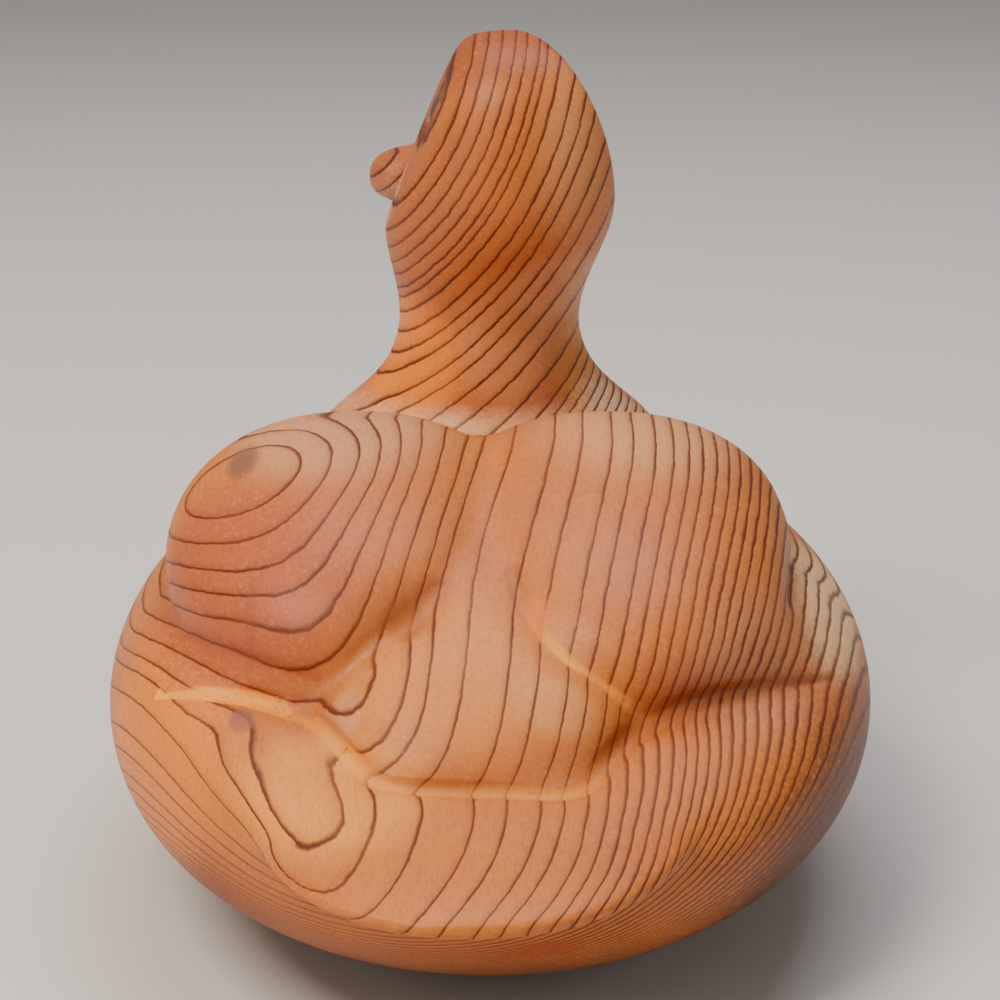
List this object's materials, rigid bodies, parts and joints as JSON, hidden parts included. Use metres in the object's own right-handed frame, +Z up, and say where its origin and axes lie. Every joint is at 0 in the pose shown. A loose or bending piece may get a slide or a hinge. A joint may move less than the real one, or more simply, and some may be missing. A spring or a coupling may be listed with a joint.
{
  "type": "carved wooden duck decoy",
  "caption": "Carved softwood duck decoy with folded wings, a flat tail and a turned head with inset glass eyes, resting on a flat keel.",
  "frame": {"origin": "centre line of the flat underside, 5 mm behind the hull's widest section", "axes": "+Z up, +Y towards the breast, +X to the duck's right"},
  "size_m": [0.1508, 0.2566, 0.1602],
  "materials": {
    "body_wood": "satin oiled softwood with dark growth rings",
    "head_wood": "satin oiled softwood, a little redder",
    "eye_glass": "polished dark amber glass"
  },
  "bodies": {
    "root": {"body": "body_wood", "head": "head_wood", "eye_left": "eye_glass", "eye_right": "eye_glass"}
  },
  "joints": []
}
